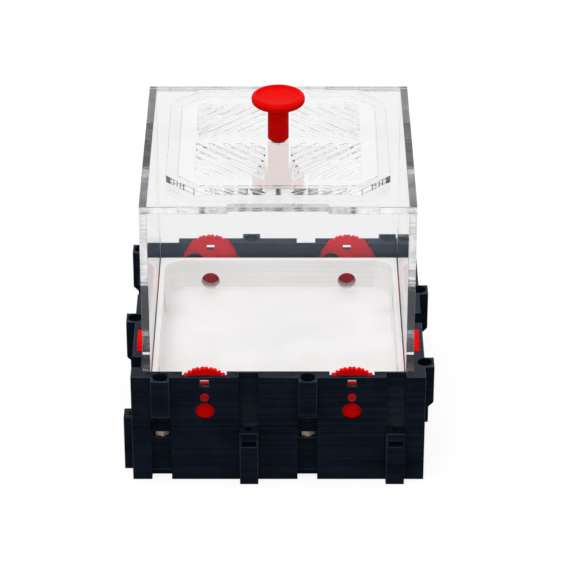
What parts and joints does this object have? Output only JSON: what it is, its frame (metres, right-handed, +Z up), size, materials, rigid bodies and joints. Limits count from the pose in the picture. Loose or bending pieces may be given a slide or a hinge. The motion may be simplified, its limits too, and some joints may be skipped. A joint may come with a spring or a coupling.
{
  "type": "ant habitat",
  "caption": "Modular ant habitat: square frame with connector lugs and rotating gate discs, inner tray, clear lift-off box with finger joints and a vented lid with a mushroom knob.",
  "frame": {"origin": "centre of the footprint, on the surface that the frame stands on", "axes": "+Z up, +Y to the back, +X to the right seen from the front; the four sides of the frame are alike by quarter turns about Z"},
  "size_m": [0.1276, 0.1276, 0.1475],
  "materials": {
    "black_print": "satin",
    "red_print": "satin",
    "white_print": "matte",
    "clear_acrylic": "gloss",
    "brass": "satin",
    "steel": "satin"
  },
  "bodies": {
    "base": {"frame_front": "black_print", "frame_right": "black_print", "frame_back": "black_print", "frame_left": "black_print", "bottom_cover": "black_print", "base_screws": "steel", "captive_nuts": "brass", "tray": "white_print"},
    "cover": {"front_pane": "clear_acrylic", "back_pane": "clear_acrylic", "left_pane": "clear_acrylic", "right_pane": "clear_acrylic", "roof_pane": "clear_acrylic"},
    "lid": {"lid_plate": "clear_acrylic", "lid_plug": "clear_acrylic", "knob": "red_print", "knob_screw": "steel"},
    "gate_front_left": {"gate_front_left": "red_print"},
    "gate_front_right": {"gate_front_right": "red_print"},
    "gate_right_front": {"gate_right_front": "red_print"},
    "gate_right_back": {"gate_right_back": "red_print"},
    "gate_back_right": {"gate_back_right": "red_print"},
    "gate_back_left": {"gate_back_left": "red_print"},
    "gate_left_back": {"gate_left_back": "red_print"},
    "gate_left_front": {"gate_left_front": "red_print"}
  },
  "joints": [
    {"name": "cover_lift", "type": "slide", "parent": "base", "child": "cover", "axis": [0, 0, 1], "range_m": [0, 0.06]},
    {"name": "lid_lift", "type": "slide", "parent": "cover", "child": "lid", "axis": [0, 0, 1], "range_m": [0, 0.04]},
    {"name": "gate_front_left_turn", "type": "hinge", "parent": "base", "child": "gate_front_left", "pos_m": [-0.03, -0.06, 0.0399], "axis": [0, -1, 0], "continuous": true},
    {"name": "gate_front_right_turn", "type": "hinge", "parent": "base", "child": "gate_front_right", "pos_m": [0.03, -0.06, 0.0399], "axis": [0, -1, 0], "continuous": true},
    {"name": "gate_right_front_turn", "type": "hinge", "parent": "base", "child": "gate_right_front", "pos_m": [0.06, -0.03, 0.0399], "axis": [1, 0, 0], "continuous": true},
    {"name": "gate_right_back_turn", "type": "hinge", "parent": "base", "child": "gate_right_back", "pos_m": [0.06, 0.03, 0.0399], "axis": [1, 0, 0], "continuous": true},
    {"name": "gate_back_right_turn", "type": "hinge", "parent": "base", "child": "gate_back_right", "pos_m": [0.03, 0.06, 0.0399], "axis": [0, 1, 0], "continuous": true},
    {"name": "gate_back_left_turn", "type": "hinge", "parent": "base", "child": "gate_back_left", "pos_m": [-0.03, 0.06, 0.0399], "axis": [0, 1, 0], "continuous": true},
    {"name": "gate_left_back_turn", "type": "hinge", "parent": "base", "child": "gate_left_back", "pos_m": [-0.06, 0.03, 0.0399], "axis": [-1, 0, 0], "continuous": true},
    {"name": "gate_left_front_turn", "type": "hinge", "parent": "base", "child": "gate_left_front", "pos_m": [-0.06, -0.03, 0.0399], "axis": [-1, 0, 0], "continuous": true}
  ]
}
